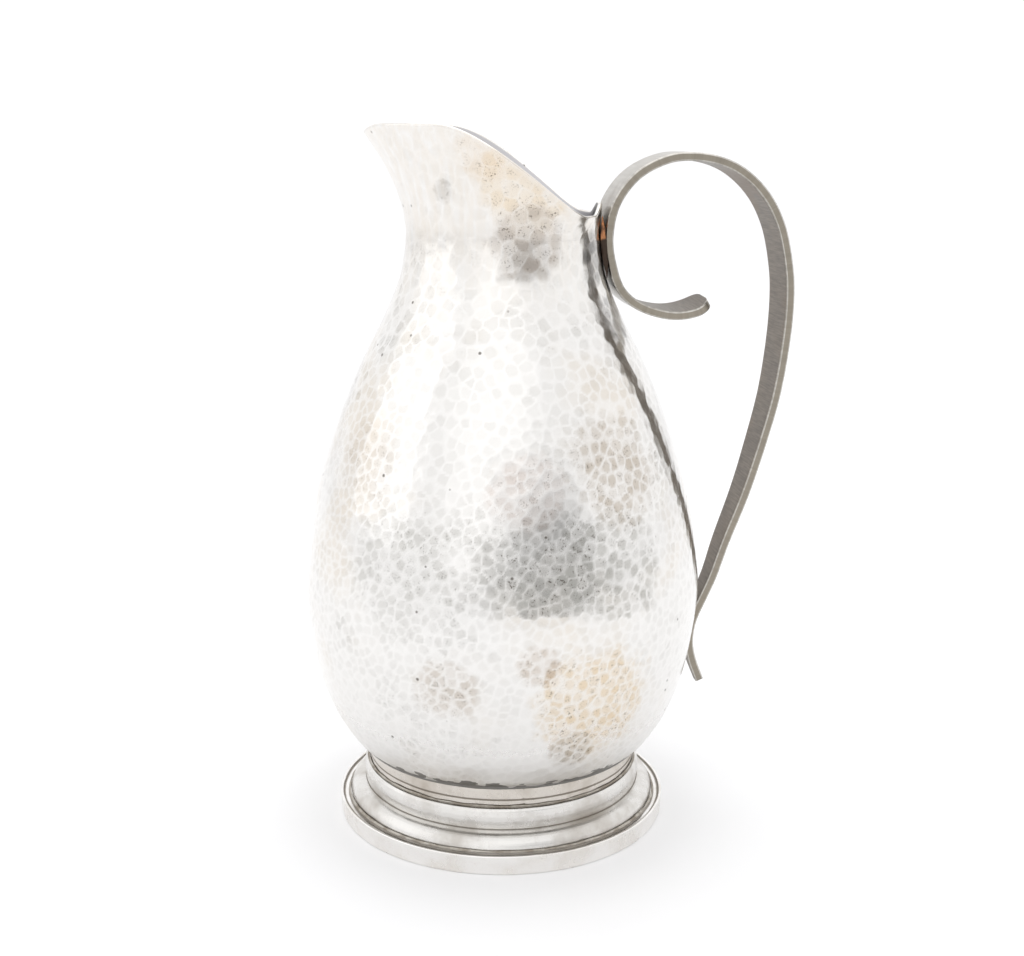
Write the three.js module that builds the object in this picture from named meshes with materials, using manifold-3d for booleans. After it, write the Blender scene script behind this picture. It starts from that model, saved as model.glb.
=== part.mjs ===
// A hammered silver water pitcher: a raised body with a pulled spout, on a stepped foot, with a scrolled strap handle.
// Millimetres, +Z up. The foot stands on z = 0, the handle lies on +X and the spout on -X, turned a little.
import * as THREE from 'three';
import { mergeVertices } from 'three/addons/utils/BufferGeometryUtils.js';
import Module from 'manifold-3d';

const GAP = 0.3; // clearance between two pieces that are soldered together
const AROUND = 64; // flats round a turned piece

// Base band: the ring that the pitcher stands on.
const BASE_RADIUS = 65.3;
const BASE_HEIGHT = 7.5;
const BASE_WALL = 2.4;
const BASE_DRAFT = 0.4; // how much the band leans in towards the floor
const LEDGE_WIDTH = 3.4; // inner shelf that carries the foot moulding
const LEDGE_HEIGHT = 1.8;
const GROOVE_WIDTH = 2.6; // channel on top of the band, round the moulding
const GROOVE_DEPTH = 1.0;

// Foot moulding: a spun shell in two steps.
const STEP_RADIUS = 61; // lower, broad moulding
const STEP_HEIGHT = 13.2; // line between the two mouldings
const DRUM_RADIUS = 54.9; // upper, narrow moulding
const DRUM_SWELL = 0.5;
const SHOULDER_HEIGHT = 21.4;
const FOOT_WALL = 1.6;

// Collar band: a bent strip between the foot and the body.
const COLLAR_RADIUS = DRUM_RADIUS - 1.7;
const COLLAR_HEIGHT = 7.8;
const COLLAR_WALL = 1.6;
const SCRIBE_DEPTH = 0.35; // line cut round the collar
const SCRIBE_RISE = 2.6; // its height above the collar's lower edge

// Body: one raised sheet, from the flat bottom to the rim.
const WALL = 1.6;
const HEEL_RADIUS = COLLAR_RADIUS + 3.4; // where the wall turns up from the bottom
const HEEL_ROUND = 1.4;
const BELLY_RADIUS = 77;
const BELLY_HEIGHT = 90;
const NECK_RADIUS = 36.4;
const NECK_HEIGHT = 228;

// Mouth, above the neck. Angles are in degrees from the spout, round to the handle at 180.
const SPOUT_TURN = 9; // the spout is this far off the handle's plane
const SPOUT_REACH = 51.8;
const MOUTH_HALF_WIDTH = 44.6;
const SPOUT_ARC = 80; // the spout swells out over this angle each side
const CROWN_RISE = 40.8; // rim above the neck beside the spout
const TIP_DIP = 2.6; // the tip is this much lower
const TIP_ARC = 28;
const BACK_RISE = 8.6; // rim above the neck beside the handle
const SWEEP_START = 58; // the rim falls from the crown to the back between these angles
const SWEEP_END = 145;
const FLARE_POWER = 1.9;
const LIP_RISE = 4.2; // small tab at the back that is dressed against the handle
const LIP_CURL = 0.5;
const LIP_ARC = 26;

// Strap handle.
const STRAP_WIDTH = 22;
const STRAP_THICKNESS = 3.2;
const LOOP_RADIUS = 30.4; // middle line of the loop beside the neck
const TAIL_HEIGHT = 72; // where the tail touches the belly
const TAIL_WIDTH_SHARE = 0.2; // width at the tip of the tail
const TAPER_START = 0.5; // share of the length where the strap starts to narrow
const SCROLL_TILT = 4; // the scroll's end leans to the front, in degrees
const STRAP_STEPS = 110;

// Braze beads along both sides of the strap, and solder rings in the foot.
const BEAD_RADIUS = 2.0;
const NECK_BEAD_LENGTH = 27;
const TAIL_BEAD_LENGTH = 15;
const SOLDER_LEG = 1.5;

const COLLAR_BOTTOM = SHOULDER_HEIGHT + GAP;
const BODY_BOTTOM = COLLAR_BOTTOM + COLLAR_HEIGHT + GAP;
const DEG = Math.PI / 180;

const silver = (roughness, color = 0xd9d7d2) =>
  new THREE.MeshStandardMaterial({ color, roughness, metalness: 1 });
const hammered = silver(0.3);
const polished = silver(0.18, 0xe2e0dc);
const tarnished = silver(0.42, 0x9b9388);
const solder = silver(0.5, 0xa9a59d);
const braze = silver(0.4, 0x9a5b34);

const smooth = (share) => THREE.MathUtils.smoothstep(share, 0, 1);

function turned(points) {
  return new THREE.LatheGeometry(points, AROUND).rotateX(Math.PI / 2);
}

function outline(pairs) {
  return pairs.map(([radius, height]) => new THREE.Vector2(radius, height));
}

// The body's outer wall from heel to neck, as shares between the named radii and heights.
function wallCurve() {
  const hip = [[0.2, 0.07], [0.55, 0.28], [0.83, 0.58]];
  const shoulder = [[0.975, 0.12], [0.866, 0.304], [0.67, 0.493], [0.437, 0.66], [0.201, 0.797], [0.05, 0.906]];
  const lift = THREE.MathUtils.lerp;
  return new THREE.SplineCurve([
    new THREE.Vector2(HEEL_RADIUS, BODY_BOTTOM + HEEL_ROUND),
    ...hip.map(([out, up]) => new THREE.Vector2(
      lift(HEEL_RADIUS, BELLY_RADIUS, out), lift(BODY_BOTTOM + HEEL_ROUND, BELLY_HEIGHT, up))),
    new THREE.Vector2(BELLY_RADIUS, BELLY_HEIGHT),
    ...shoulder.map(([out, up]) => new THREE.Vector2(
      lift(NECK_RADIUS, BELLY_RADIUS, out), lift(BELLY_HEIGHT, NECK_HEIGHT, up))),
    new THREE.Vector2(NECK_RADIUS, NECK_HEIGHT),
  ]);
}

const wall = wallCurve();
const wallSamples = wall.getPoints(400);

// Outer radius of the body at a height below the rim.
function wallRadius(height) {
  if (height >= NECK_HEIGHT) return NECK_RADIUS;
  const above = wallSamples.findIndex((point) => point.y >= height);
  if (above < 1) return wallSamples[0].x;
  const [low, high] = [wallSamples[above - 1], wallSamples[above]];
  return THREE.MathUtils.mapLinear(height, low.y, high.y, low.x, high.x);
}

// Rim radius and height above the neck, at an angle from the spout.
function rimAt(angle) {
  const swell = angle < SPOUT_ARC ? Math.cos((angle / SPOUT_ARC) * 90 * DEG) ** 2.6 : 0;
  const back = THREE.MathUtils.smoothstep(angle, SPOUT_ARC, 180);
  const sweep = THREE.MathUtils.smoothstep(angle, SWEEP_START, SWEEP_END);
  const tip = 1 - THREE.MathUtils.smoothstep(angle, 0, TIP_ARC);
  const lip = 1 - THREE.MathUtils.smoothstep(180 - angle, LIP_ARC / 3, LIP_ARC);
  return {
    radius: THREE.MathUtils.lerp(MOUTH_HALF_WIDTH, NECK_RADIUS, back)
      + (SPOUT_REACH - MOUTH_HALF_WIDTH) * swell + LIP_CURL * lip,
    rise: THREE.MathUtils.lerp(CROWN_RISE, BACK_RISE, sweep) - TIP_DIP * tip + LIP_RISE * lip,
  };
}

// Moves the part of a turned body that lies above the neck out to the spout and the sloping rim.
function pullMouth(geometry) {
  const position = geometry.getAttribute('position');
  const spoutX = -Math.cos(SPOUT_TURN * DEG);
  const spoutY = Math.sin(SPOUT_TURN * DEG);
  for (let i = 0; i < position.count; i += 1) {
    const [x, y, z] = [position.getX(i), position.getY(i), position.getZ(i)];
    const share = (z - NECK_HEIGHT) / CROWN_RISE;
    const radius = Math.hypot(x, y);
    if (share > 0 && radius > 0) {
      const angle = Math.acos(THREE.MathUtils.clamp((x * spoutX + y * spoutY) / radius, -1, 1)) / DEG;
      const rim = rimAt(angle);
      const moved = radius + (rim.radius - NECK_RADIUS) * share ** FLARE_POWER;
      position.setXYZ(i, (x / radius) * moved, (y / radius) * moved, NECK_HEIGHT + rim.rise * share);
    }
  }
  return geometry;
}

// The body's outer face from the middle of the bottom to the rim, moved out by a clearance.
function bodyFace(out) {
  const heel = new THREE.Vector2(HEEL_RADIUS - HEEL_ROUND + out, BODY_BOTTOM - out);
  const mouth = [0.2, 0.4, 0.6, 0.8, 1];
  return [
    new THREE.Vector2(0, BODY_BOTTOM - out),
    new THREE.Vector2(HEEL_RADIUS * 0.8, BODY_BOTTOM - out),
    heel,
    ...wall.getPoints(20).map((point) => new THREE.Vector2(point.x + out, point.y)),
    ...mouth.map((share) => new THREE.Vector2(NECK_RADIUS + out, NECK_HEIGHT + share * CROWN_RISE)),
  ];
}

function bodyShell() {
  const outer = bodyFace(0);
  const inner = bodyFace(-WALL).reverse();
  const rimTop = new THREE.Vector2(NECK_RADIUS - WALL / 2, NECK_HEIGHT + CROWN_RISE + WALL / 4);
  return pullMouth(turned([...outer, rimTop, ...inner]));
}

function baseBand() {
  const inside = BASE_RADIUS - BASE_WALL;
  const grooveOut = BASE_RADIUS - 1;
  const grooveIn = grooveOut - GROOVE_WIDTH;
  return turned(outline([
    [inside, 0],
    [BASE_RADIUS - BASE_DRAFT - 0.4, 0],
    [BASE_RADIUS - BASE_DRAFT, 0.5],
    [BASE_RADIUS, BASE_HEIGHT - 0.7],
    [BASE_RADIUS - 0.5, BASE_HEIGHT],
    [grooveOut, BASE_HEIGHT],
    [grooveOut - 0.3, BASE_HEIGHT - GROOVE_DEPTH],
    [grooveIn, BASE_HEIGHT - GROOVE_DEPTH],
    [grooveIn - 0.2, BASE_HEIGHT - GROOVE_DEPTH / 2],
    [inside - LEDGE_WIDTH, BASE_HEIGHT - GROOVE_DEPTH / 2],
    [inside - LEDGE_WIDTH, BASE_HEIGHT - GROOVE_DEPTH / 2 - LEDGE_HEIGHT],
    [inside, BASE_HEIGHT - GROOVE_DEPTH / 2 - LEDGE_HEIGHT],
    [inside, 0],
  ]));
}

// Foot of the moulding, seated on the base band's shelf.
const MOULDING_BOTTOM = BASE_HEIGHT - GROOVE_DEPTH / 2 + GAP;

function mouldingFace(inset) {
  const drop = inset * 0.9;
  const rise = STEP_HEIGHT - MOULDING_BOTTOM;
  const quarter = [90, 66, 44, 24, 8].map((angle) => [
    DRUM_RADIUS + (STEP_RADIUS - DRUM_RADIUS) * Math.cos(angle * DEG) - inset,
    Math.max(MOULDING_BOTTOM + inset * 0.1, MOULDING_BOTTOM + rise * Math.sin(angle * DEG) - drop),
  ]);
  const middle = (STEP_HEIGHT + SHOULDER_HEIGHT) / 2;
  return [
    [DRUM_RADIUS - 1.2 - inset, SHOULDER_HEIGHT - drop],
    [DRUM_RADIUS - 0.3 - inset, SHOULDER_HEIGHT - 0.9 - drop],
    [DRUM_RADIUS + DRUM_SWELL - inset, middle + 0.6 - drop],
    [DRUM_RADIUS + DRUM_SWELL * 0.6 - inset, middle - 2 - drop],
    ...quarter,
    [STEP_RADIUS - inset, MOULDING_BOTTOM],
  ];
}

function footMoulding() {
  const lip = COLLAR_RADIUS - COLLAR_WALL - 0.6; // inner edge of the shelf under the collar
  const outer = mouldingFace(0);
  const inner = mouldingFace(FOOT_WALL).reverse();
  const shelf = [[lip, SHOULDER_HEIGHT - FOOT_WALL * 0.9], [lip, SHOULDER_HEIGHT]];
  return turned(outline([...inner, ...shelf, ...outer, inner[0]]).reverse());
}

function collarBand() {
  const inside = COLLAR_RADIUS - COLLAR_WALL;
  const scribe = COLLAR_BOTTOM + SCRIBE_RISE;
  const top = COLLAR_BOTTOM + COLLAR_HEIGHT;
  return turned(outline([
    [inside, COLLAR_BOTTOM],
    [COLLAR_RADIUS, COLLAR_BOTTOM],
    [COLLAR_RADIUS, scribe - 0.3],
    [COLLAR_RADIUS - SCRIBE_DEPTH, scribe],
    [COLLAR_RADIUS, scribe + 0.3],
    [COLLAR_RADIUS, top],
    [inside, top],
    [inside, COLLAR_BOTTOM],
  ]));
}

// A three-sided solder ring in the corner between an upright face and a level one.
function solderRing(radius, height, outward, upward) {
  const corner = [radius, height];
  const along = [radius + outward * SOLDER_LEG, height];
  const up = [radius, height + upward * SOLDER_LEG];
  const ring = outward * upward > 0 ? [corner, along, up, corner] : [corner, up, along, corner];
  return turned(outline(ring));
}

// How far from the pitcher's axis the strap's middle line must be, at least, to clear the sloping wall.
function leastReach(height) {
  const slope = (wallRadius(height + 1) - wallRadius(height - 1)) / 2;
  return wallRadius(height) + (GAP + STRAP_THICKNESS / 2) * Math.hypot(1, slope);
}

// Middle line of the strap, from the scroll's end round the loop, over the top and down to the tail's tip.
const LOOP_X = NECK_RADIUS + GAP + 0.15 + STRAP_THICKNESS / 2 + LOOP_RADIUS;

function strapCurve() {
  // Angle round the loop's centre, and the radius there less LOOP_RADIUS.
  const loop = [
    [-67.5, -4.4], [-80, -3.0], [-96, -1.7], [-112, -0.6], [-128, 0.8], [-143, 1.3], [-160, 0.2], [-180, 0],
    [-205, 0.3], [-230, 0.3], [-255, 0], [-272, -0.2], [-289, 0.3], [-304.5, 1.2], [-321, 2.3], [-336.6, 3.8],
    [-351, 5.6], [-361.5, 7.4],
  ];
  // Share of the height from the tail's seat to the neck, and the strap's distance from the body there.
  const stroke = [
    [0.9, 68.2], [0.815, 62.9], [0.725, 54.7], [0.606, 44.0], [0.48, 32.4], [0.351, 21.3], [0.222, 11.0],
    [0.133, 5.6], [0.078, 2.8], [0.029, 0.7], [-0.013, 0.3], [-0.052, 1.5], [-0.094, 4.8], [-0.153, 11.8],
  ];
  const loopPoints = loop.map(([angle, extra]) => {
    const height = NECK_HEIGHT + (LOOP_RADIUS + extra) * Math.sin(angle * DEG);
    return new THREE.Vector3(
      Math.max(leastReach(height), LOOP_X + (LOOP_RADIUS + extra) * Math.cos(angle * DEG)), 0, height);
  });
  const strokePoints = stroke.map(([share, clear]) => {
    const height = THREE.MathUtils.lerp(TAIL_HEIGHT, NECK_HEIGHT, share);
    return new THREE.Vector3(
      Math.max(leastReach(height), wallRadius(height) + GAP + clear + STRAP_THICKNESS / 2), 0, height);
  });
  return new THREE.CatmullRomCurve3([...loopPoints, ...strokePoints], false, 'centripetal');
}

const strapLine = strapCurve();

// Half the strap's width at a share of its length: round at the scroll's end, narrow at the tail.
function strapHalfWidth(share) {
  const end = Math.min(1, share / 0.02);
  const taper = Math.max(0, (share - TAPER_START) / (1 - TAPER_START));
  const round = 0.4 + 0.6 * Math.sqrt(1 - (1 - end) ** 2);
  return (STRAP_WIDTH / 2) * round * (1 - (1 - TAIL_WIDTH_SHARE) * taper ** 1.5);
}

// A flat bar with broken edges, bent along the strap's middle line and grown by a clearance.
function strap(grow) {
  const [across, through] = [0.95, 0.7]; // flats left between the broken edges
  const section = new THREE.Shape(outline([
    [-1, -through], [-across, -1], [across, -1], [1, -through],
    [1, through], [across, 1], [-across, 1], [-1, through],
  ]));
  const bar = new THREE.ExtrudeGeometry(section, { depth: 1, steps: STRAP_STEPS, bevelEnabled: false });
  const position = bar.getAttribute('position');
  for (let i = 0; i < position.count; i += 1) {
    const share = THREE.MathUtils.clamp(position.getZ(i), 0, 1);
    const middle = strapLine.getPointAt(share);
    const along = strapLine.getTangentAt(share);
    const tilt = -SCROLL_TILT * DEG * (1 - smooth(share / 0.1));
    const side = position.getX(i) * (strapHalfWidth(share) + grow);
    const out = position.getY(i) * (STRAP_THICKNESS / 2 + grow);
    const sideways = side * Math.cos(tilt) - out * Math.sin(tilt);
    const outward = side * Math.sin(tilt) + out * Math.cos(tilt);
    position.setXYZ(i, middle.x - outward * along.z, sideways, middle.z + outward * along.x);
  }
  return bar;
}

const wasm = await Module();
wasm.setup();

function toSolid(geometry) {
  const bare = geometry.index ? geometry.toNonIndexed() : geometry.clone();
  bare.deleteAttribute('normal');
  bare.deleteAttribute('uv');
  const merged = mergeVertices(bare, 1e-3);
  return new wasm.Manifold(new wasm.Mesh({
    numProp: 3,
    vertProperties: merged.getAttribute('position').array,
    triVerts: new Uint32Array(merged.index.array),
  }));
}

function toGeometry(solid) {
  const { vertProperties, triVerts } = solid.getMesh();
  return new THREE.BufferGeometry()
    .setAttribute('position', new THREE.BufferAttribute(vertProperties, 3))
    .setIndex(new THREE.BufferAttribute(triVerts, 1));
}

const bodyClearance = toSolid(pullMouth(turned([
  ...bodyFace(GAP), new THREE.Vector2(0, NECK_HEIGHT + CROWN_RISE),
])));
const strapClearance = toSolid(strap(GAP));

// A braze bead in the corner between the body and one edge of the strap, cut clear of both.
function brazeBead(height, length, side, strapShare) {
  const halfWidth = strapHalfWidth(strapShare);
  const reach = Math.sqrt(Math.max(0, wallRadius(height) ** 2 - halfWidth ** 2));
  const bead = new THREE.SphereGeometry(1, 20, 14)
    .scale(BEAD_RADIUS, BEAD_RADIUS, length / 2)
    .rotateY(Math.atan2(wallRadius(height + 5) - wallRadius(height - 5), 10))
    .translate(reach + BEAD_RADIUS * 0.45, side * (halfWidth - BEAD_RADIUS * 0.25), height);
  const solid = toSolid(bead).subtract(bodyClearance).subtract(strapClearance);
  const largest = solid.decompose().sort((a, b) => b.volume() - a.volume())[0];
  return toGeometry(largest);
}

// Share of the strap's length where it passes a height, searched between two shares.
function shareAtHeight(height, from, to) {
  const steps = 400;
  let best = from;
  for (let i = 0; i <= steps; i += 1) {
    const share = THREE.MathUtils.lerp(from, to, i / steps);
    const miss = Math.abs(strapLine.getPointAt(share).z - height);
    if (miss < Math.abs(strapLine.getPointAt(best).z - height)) best = share;
  }
  return best;
}

const group = new THREE.Group();

function add(name, geometry, material) {
  const mesh = new THREE.Mesh(geometry, material);
  mesh.name = name;
  group.add(mesh);
}

add('base_band', baseBand(), polished);
add('foot_moulding', footMoulding(), polished);
add('collar_band', collarBand(), polished);
add('body_shell', bodyShell(), hammered);
add('strap_handle', strap(0), tarnished);
add('base_solder', solderRing(STEP_RADIUS + GAP, BASE_HEIGHT - GROOVE_DEPTH / 2 + GAP, 1, 1), solder);
add('collar_solder', solderRing(COLLAR_RADIUS + GAP, COLLAR_BOTTOM, 1, 1), solder);
add('body_solder', solderRing(COLLAR_RADIUS + GAP, BODY_BOTTOM - GAP, 1, -1), solder);

const neckBeadHeight = NECK_HEIGHT - 3;
const tailBeadHeight = TAIL_HEIGHT + 2;
const neckShare = shareAtHeight(neckBeadHeight, 0.1, 0.3);
const tailShare = shareAtHeight(tailBeadHeight, 0.8, 1);
add('neck_braze_front', brazeBead(neckBeadHeight, NECK_BEAD_LENGTH, -1, neckShare), braze);
add('neck_braze_rear', brazeBead(neckBeadHeight, NECK_BEAD_LENGTH, 1, neckShare), braze);
add('tail_braze_front', brazeBead(tailBeadHeight, TAIL_BEAD_LENGTH, -1, tailShare), braze);
add('tail_braze_rear', brazeBead(tailBeadHeight, TAIL_BEAD_LENGTH, 1, tailShare), braze);

// The origin is the middle of the whole pitcher's footprint, on the floor.
const box = new THREE.Box3().setFromObject(group);
const centre = box.getCenter(new THREE.Vector3());
group.children.forEach((mesh) => mesh.position.set(-centre.x, -centre.y, -box.min.z));

export default group;
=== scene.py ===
"""A hammered silver water pitcher: a raised body, a stepped foot and a scrolled strap handle.

The sizes in the classes are millimetres, measured from the pitcher's own axis. The scene is in metres,
+Z up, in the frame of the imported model: the handle lies on +X and the spout on -X, turned a little.
"""

import logging
import math
from dataclasses import dataclass, field
from enum import Enum
from typing import TypeAlias

import bpy
import numpy as np
from mathutils import Matrix, Vector
from mathutils.kdtree import KDTree

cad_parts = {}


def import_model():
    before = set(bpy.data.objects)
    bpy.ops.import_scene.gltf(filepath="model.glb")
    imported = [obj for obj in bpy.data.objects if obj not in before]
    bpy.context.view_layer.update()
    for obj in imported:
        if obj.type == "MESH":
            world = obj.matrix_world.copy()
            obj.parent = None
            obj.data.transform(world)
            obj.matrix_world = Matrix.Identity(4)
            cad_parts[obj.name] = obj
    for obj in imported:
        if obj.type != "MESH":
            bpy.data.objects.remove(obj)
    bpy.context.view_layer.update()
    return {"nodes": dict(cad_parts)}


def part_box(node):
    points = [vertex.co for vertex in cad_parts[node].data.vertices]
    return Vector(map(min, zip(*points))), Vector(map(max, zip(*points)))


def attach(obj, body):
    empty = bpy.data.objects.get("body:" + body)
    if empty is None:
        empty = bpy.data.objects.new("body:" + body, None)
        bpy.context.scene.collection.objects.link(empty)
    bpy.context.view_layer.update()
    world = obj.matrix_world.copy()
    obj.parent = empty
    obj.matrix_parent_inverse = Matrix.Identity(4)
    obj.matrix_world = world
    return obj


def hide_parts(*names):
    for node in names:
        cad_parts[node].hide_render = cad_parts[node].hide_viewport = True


MM = 0.001
SEED = 20

Colour: TypeAlias = tuple[float, float, float]
Place: TypeAlias = tuple[float, float, float]
Number: TypeAlias = "Term | float"

log = logging.getLogger("pitcher")


class Slot(Enum):
    """Material slot names."""

    HAMMERED = "hammered_silver"
    POLISHED = "polished_silver"
    DULL = "dull_silver"
    SOLDER = "grey_solder"
    BRAZE = "copper_braze"


class Section(Enum):
    """How the rows of a grid of points end."""

    LOOP = "the last row joins the first"
    CAPPED = "both ends are closed by a fan"


# ---------------------------------------------------------------- shader expressions


class Term:
    """A number that varies over a surface. Arithmetic on it adds Math nodes."""

    def __init__(self, shader: "Shader", socket: bpy.types.NodeSocket) -> None:
        """Wraps an output socket of a shader's tree."""
        self.shader = shader
        self.socket = socket

    def _math(self, operation: str, first: Number, second: Number = 0.0) -> "Term":
        """One Math node.

        Args:
            operation: the node's operation.
            first: its first value.
            second: its second value.

        Returns:
            The node's result.
        """
        node = self.shader.node("ShaderNodeMath", {"operation": operation}, {0: first, 1: second})
        return Term(self.shader, node.outputs[0])

    def __add__(self, other: Number) -> "Term":
        """This plus another."""
        return self._math("ADD", self, other)

    def __radd__(self, other: Number) -> "Term":
        """Another plus this."""
        return self._math("ADD", other, self)

    def __sub__(self, other: Number) -> "Term":
        """This less another."""
        return self._math("SUBTRACT", self, other)

    def __rsub__(self, other: Number) -> "Term":
        """Another less this."""
        return self._math("SUBTRACT", other, self)

    def __mul__(self, other: Number) -> "Term":
        """This times another."""
        return self._math("MULTIPLY", self, other)

    def __rmul__(self, other: Number) -> "Term":
        """Another times this."""
        return self._math("MULTIPLY", other, self)

    def at_most(self, other: Number) -> "Term":
        """The smaller of this and another."""
        return self._math("MINIMUM", self, other)

    def ramp(self, low: float, high: float, start: float = 0.0, end: float = 1.0) -> "Term":
        """A smooth step from start to end as this goes from low to high.

        Args:
            low: where the step starts.
            high: where it ends; it may be the smaller.
            start: the result before the step.
            end: the result after it.

        Returns:
            The stepped value.
        """
        node = self.shader.node(
            "ShaderNodeMapRange",
            {"interpolation_type": "SMOOTHSTEP"},
            {"Value": self, "From Min": low, "From Max": high, "To Min": start, "To Max": end},
        )
        return Term(self.shader, node.outputs["Result"])


class Shader:
    """The node tree of a material or of the surroundings."""

    def __init__(self, owner: bpy.types.Material | bpy.types.World, place: str = "Object") -> None:
        """Empties the owner's tree.

        Args:
            owner: what the tree belongs to.
            place: the texture coordinate that its patterns are read at.
        """
        owner.use_nodes = True
        self.owner = owner
        self.tree = owner.node_tree
        self.tree.nodes.clear()
        self.place = self.node("ShaderNodeTexCoord").outputs[place]

    def node(
        self, kind: str, settings: dict | None = None, sockets: dict | None = None
    ) -> bpy.types.Node:
        """Adds a node.

        Args:
            kind: the node's type.
            settings: its properties, which are set before its sockets.
            sockets: values or links for its inputs, by name or number.

        Returns:
            The new node.
        """
        made = self.tree.nodes.new(kind)
        for name, value in (settings or {}).items():
            setattr(made, name, value)
        for key, value in (sockets or {}).items():
            if isinstance(value, Term):
                self.tree.links.new(value.socket, made.inputs[key])
            elif isinstance(value, bpy.types.NodeSocket):
                self.tree.links.new(value, made.inputs[key])
            elif isinstance(value, tuple) and len(value) == 3 and made.inputs[key].type == "RGBA":
                made.inputs[key].default_value = (*value, 1.0)
            else:
                made.inputs[key].default_value = value
        return made

    def stretched(self, vector: bpy.types.NodeSocket, scale: Place) -> bpy.types.NodeSocket:
        """A position scaled along each axis."""
        node = self.node("ShaderNodeVectorMath", {"operation": "MULTIPLY"}, {0: vector, 1: scale})
        return node.outputs["Vector"]

    def noise(
        self,
        scale: float,
        detail: float = 2.0,
        roughness: float = 0.5,
        vector: bpy.types.NodeSocket | None = None,
    ) -> Term:
        """Cloudy noise about 0.5.

        Args:
            scale: clouds per metre.
            detail: how many finer layers it has.
            roughness: how strong they are.
            vector: where it is read, the object's own place by default.

        Returns:
            The noise.
        """
        sockets = {"Vector": vector or self.place, "Scale": scale, "Detail": detail, "Roughness": roughness}
        return Term(self, self.node("ShaderNodeTexNoise", None, sockets).outputs[0])

    def cells(self, scale: float, vector: bpy.types.NodeSocket | None = None) -> tuple[Term, Term]:
        """Scattered points.

        Args:
            scale: points per metre.
            vector: where they are read, the object's own place by default.

        Returns:
            The distance to the nearest point, and a random number that is its own.
        """
        sockets = {"Vector": vector or self.place, "Scale": scale}
        node = self.node("ShaderNodeTexVoronoi", {"feature": "F1"}, sockets)
        split = self.node("ShaderNodeSeparateColor", None, {"Color": node.outputs["Color"]})
        return Term(self, node.outputs["Distance"]), Term(self, split.outputs[0])

    def near(self, centre: Place, reach: float) -> Term:
        """A soft round patch.

        Args:
            centre: its middle, in metres.
            reach: its radius, in metres.

        Returns:
            1 at its middle, falling to 0 at its edge.
        """
        node = self.node("ShaderNodeVectorMath", {"operation": "DISTANCE"}, {0: self.place, 1: centre})
        return Term(self, node.outputs["Value"]).ramp(reach, reach * 0.25)

    def height(self) -> Term:
        """How high a point is, in metres."""
        return Term(self, self.node("ShaderNodeSeparateXYZ", None, {0: self.place}).outputs["Z"])

    def mark(self, name: str) -> Term:
        """A number that the mesh holds at each vertex."""
        node = self.node("ShaderNodeAttribute", {"attribute_name": name})
        return Term(self, node.outputs["Fac"])

    def mark_vector(self, name: str) -> bpy.types.NodeSocket:
        """A vector that the mesh holds at each vertex."""
        return self.node("ShaderNodeAttribute", {"attribute_name": name}).outputs["Vector"]

    def blend(self, share: Term, first: object, second: object, mode: str = "MIX") -> bpy.types.NodeSocket:
        """Mixes two colours.

        Args:
            share: how much of the second shows.
            first: a colour or a link.
            second: a colour or a link.
            mode: the Mix node's blend type.

        Returns:
            The mixed colour.
        """
        settings = {"data_type": "RGBA", "blend_type": mode, "clamp_factor": True}
        return self.node("ShaderNodeMix", settings, {0: share, 6: first, 7: second}).outputs[2]

    def bump(self, height: Term, depth: float) -> bpy.types.NodeSocket:
        """Turns heights from 0 to 1 into a normal.

        Args:
            height: the heights.
            depth: how many metres a height of 1 stands for.

        Returns:
            The normal.
        """
        sockets = {"Height": height, "Distance": depth, "Strength": 1.0}
        return self.node("ShaderNodeBump", None, sockets).outputs["Normal"]

    def surface(self, **sockets: object) -> bpy.types.Material:
        """Ends the tree in a Principled surface.

        Args:
            **sockets: its inputs, with _ for each space in their names.

        Returns:
            The finished material.
        """
        named = {key.replace("_", " "): value for key, value in sockets.items()}
        body = self.node("ShaderNodeBsdfPrincipled", None, named)
        self.node("ShaderNodeOutputMaterial", None, {"Surface": body.outputs[0]})
        return self.owner


# ---------------------------------------------------------------- finishes


@dataclass(frozen=True)
class Patch:
    """One darker or tinted patch on the body, in millimetres from the pitcher's axis, with a level lower
    edge.
    """

    centre: Place
    reach: float
    colour: Colour
    strength: float
    lowest: float = 0.0


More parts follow.
